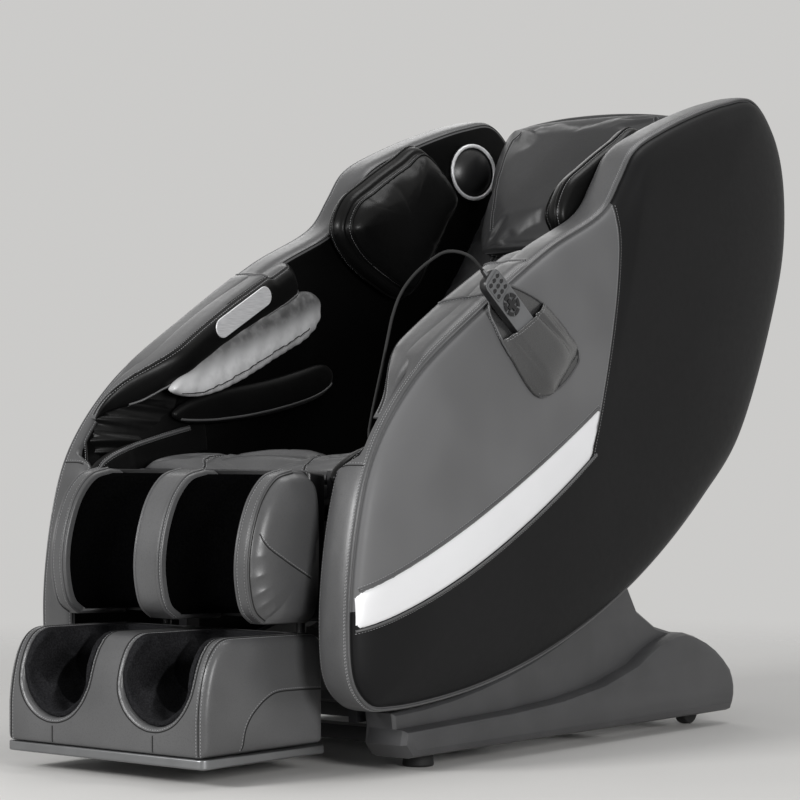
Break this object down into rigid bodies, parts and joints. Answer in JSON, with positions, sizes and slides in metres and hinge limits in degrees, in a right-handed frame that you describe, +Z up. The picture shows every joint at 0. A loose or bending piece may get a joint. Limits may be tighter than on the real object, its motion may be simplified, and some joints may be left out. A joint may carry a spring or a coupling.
{
  "type": "massage chair",
  "caption": "Padded home massage chair with cradle base, reclining back with roller carriage, lifting leg rest with sliding foot wells, and a pouched handset.",
  "frame": {"origin": "on the floor under the middle of the chair's box at rest", "axes": "+Z up, +Y from the leg rest to the back (the sitter faces -Y), +X to the sitter's left"},
  "size_m": [0.777, 1.4992, 1.1664],
  "materials": {
    "front_leather": "semi-gloss grained",
    "side_leather": "matte grained",
    "lining_fabric": "matt knit",
    "stripe": "satin",
    "shell_plastic": "satin",
    "dark_plastic": "satin",
    "frame_steel": "powder coat",
    "zinc_steel": "zinc plated",
    "bright_trim": "satin chrome",
    "sole_metal": "satin",
    "key_rubber": "matt",
    "tread_rubber": "matt"
  },
  "bodies": {
    "base": {"base_frame": "frame_steel", "base_cover_left": "shell_plastic", "base_cover_right": "shell_plastic", "front_foot_left": "tread_rubber", "front_foot_right": "tread_rubber", "power_box": "dark_plastic"},
    "wheel_left": {"rear_wheel_left": "tread_rubber"},
    "wheel_right": {"rear_wheel_right": "tread_rubber"},
    "mains_switch": {"power_switch": "dark_plastic"},
    "cabin": {"seat_frame": "frame_steel", "side_panel_left": "side_leather", "side_panel_right": "side_leather", "accent_strip_left": "stripe", "accent_strip_right": "stripe", "arm_pad_left": "front_leather", "arm_pad_right": "front_leather", "arm_liner_left": "front_leather", "arm_liner_right": "front_leather", "shoulder_airbag_left": "front_leather", "shoulder_airbag_right": "front_leather", "speaker_ring_left": "bright_trim", "speaker_ring_right": "bright_trim", "speaker_cover_left": "dark_plastic", "speaker_cover_right": "dark_plastic", "seat_cushion": "front_leather", "trim_plate_right": "bright_trim", "air_pump": "dark_plastic", "remote_pocket": "front_leather", "handset_cord": "tread_rubber", "recline_drive": "dark_plastic", "leg_drive": "dark_plastic"},
    "back": {"back_frame": "frame_steel", "back_cushion": "front_leather", "rear_cover": "side_leather"},
    "pillow": {"head_pillow": "front_leather"},
    "carriage": {"massage_carriage": "zinc_steel"},
    "knead_arm_left": {"roller_arm_left": "frame_steel"},
    "knead_arm_right": {"roller_arm_right": "frame_steel"},
    "roller_up_left": {"upper_roller_left": "tread_rubber"},
    "roller_low_left": {"lower_roller_left": "tread_rubber"},
    "roller_up_right": {"upper_roller_right": "tread_rubber"},
    "roller_low_right": {"lower_roller_right": "tread_rubber"},
    "leg_rest": {"calf_frame": "frame_steel", "calf_shell": "shell_plastic", "calf_ridge_middle": "front_leather", "calf_side_left": "front_leather", "calf_side_right": "front_leather", "calf_liner_left": "lining_fabric", "calf_liner_right": "lining_fabric"},
    "foot_unit": {"foot_housing": "front_leather", "foot_liner_left": "lining_fabric", "foot_liner_right": "lining_fabric", "foot_sole": "sole_metal", "foot_carrier": "zinc_steel"},
    "recline_ram": {"recline_rod": "zinc_steel"},
    "leg_ram": {"leg_rod": "zinc_steel"},
    "remote": {"handset": "dark_plastic"},
    "digit_mat": {"number_keys": "key_rubber"},
    "ring_mat": {"ring_keys": "key_rubber"},
    "arrow_pad": {"cross_key": "key_rubber"}
  },
  "joints": [
    {"name": "wheel_spin_left", "type": "hinge", "parent": "base", "child": "wheel_left", "pos_m": [0.28, 0.5, 0.025], "axis": [1, 0, 0], "continuous": true},
    {"name": "wheel_spin_right", "type": "hinge", "parent": "base", "child": "wheel_right", "pos_m": [-0.28, 0.5, 0.025], "axis": [1, 0, 0], "continuous": true},
    {"name": "switch_rock", "type": "hinge", "parent": "base", "child": "mains_switch", "pos_m": [0.01, 0.554, 0.102], "axis": [1, 0, 0], "range_deg": [0, 12]},
    {"name": "cradle_swing", "type": "hinge", "parent": "base", "child": "cabin", "pos_m": [0, -0.45, 1.583], "axis": [-1, 0, 0], "range_deg": [0, 12]},
    {"name": "back_recline", "type": "hinge", "parent": "cabin", "child": "back", "pos_m": [0, 0.20195, 0.38984], "axis": [-1, 0, 0], "range_deg": [0, 25]},
    {"name": "pillow_flip", "type": "hinge", "parent": "back", "child": "pillow", "pos_m": [0, 0.62265, 1.14757], "axis": [-1, 0, 0], "range_deg": [0, 100]},
    {"name": "carriage_climb", "type": "slide", "parent": "back", "child": "carriage", "axis": [0, 0.5736, 0.8192], "range_m": [0, 0.4]},
    {"name": "knead_left", "type": "hinge", "parent": "carriage", "child": "knead_arm_left", "pos_m": [0, 0.35623, 0.52596], "axis": [1, 0, 0], "range_deg": [-8, 8]},
    {"name": "knead_right", "type": "hinge", "parent": "carriage", "child": "knead_arm_right", "pos_m": [0, 0.35623, 0.52596], "axis": [1, 0, 0], "range_deg": [-8, 8]},
    {"name": "roll_up_left", "type": "hinge", "parent": "knead_arm_left", "child": "roller_up_left", "pos_m": [0.083, 0.35402, 0.57512], "axis": [1, 0, 0], "continuous": true},
    {"name": "roll_low_left", "type": "hinge", "parent": "knead_arm_left", "child": "roller_low_left", "pos_m": [0.083, 0.30928, 0.51122], "axis": [1, 0, 0], "continuous": true},
    {"name": "roll_up_right", "type": "hinge", "parent": "knead_arm_right", "child": "roller_up_right", "pos_m": [-0.083, 0.35402, 0.57512], "axis": [1, 0, 0], "continuous": true},
    {"name": "roll_low_right", "type": "hinge", "parent": "knead_arm_right", "child": "roller_low_right", "pos_m": [-0.083, 0.30928, 0.51122], "axis": [1, 0, 0], "continuous": true},
    {"name": "leg_lift", "type": "hinge", "parent": "cabin", "child": "leg_rest", "pos_m": [0, -0.425, 0.468], "axis": [-1, 0, 0], "range_deg": [0, 80]},
    {"name": "foot_extend", "type": "slide", "parent": "leg_rest", "child": "foot_unit", "axis": [0, 0, -1], "range_m": [0, 0.12]},
    {"name": "recline_ram_travel", "type": "slide", "parent": "cabin", "child": "recline_ram", "axis": [0, -1, -0.0069], "range_m": [0, 0.04]},
    {"name": "leg_ram_travel", "type": "slide", "parent": "cabin", "child": "leg_ram", "axis": [0, -0.8944, 0.4472], "range_m": [0, 0.112]},
    {"name": "handset_lift", "type": "slide", "parent": "cabin", "child": "remote", "axis": [-0.1392, -0.7002, 0.7002], "range_m": [0, 0.1], "deforming": ["handset_cord"]},
    {"name": "press_digits", "type": "slide", "parent": "remote", "child": "digit_mat", "axis": [-0.9903, 0.0984, -0.0984], "range_m": [0, 0.0008], "stiffness_N_per_m": 1500},
    {"name": "press_ring", "type": "slide", "parent": "remote", "child": "ring_mat", "axis": [-0.9903, 0.0984, -0.0984], "range_m": [0, 0.0008], "stiffness_N_per_m": 1500},
    {"name": "press_arrows", "type": "slide", "parent": "remote", "child": "arrow_pad", "axis": [-0.9903, 0.0984, -0.0984], "range_m": [0, 0.0008], "stiffness_N_per_m": 1500}
  ],
  "couplings": [
    {"joint": "foot_extend", "follows": "leg_lift", "m_per_rad": 0.0859},
    {"joint": "leg_ram_travel", "follows": "leg_lift", "m_per_rad": 0.0785},
    {"joint": "recline_ram_travel", "follows": "back_recline", "m_per_rad": 0.0893}
  ]
}
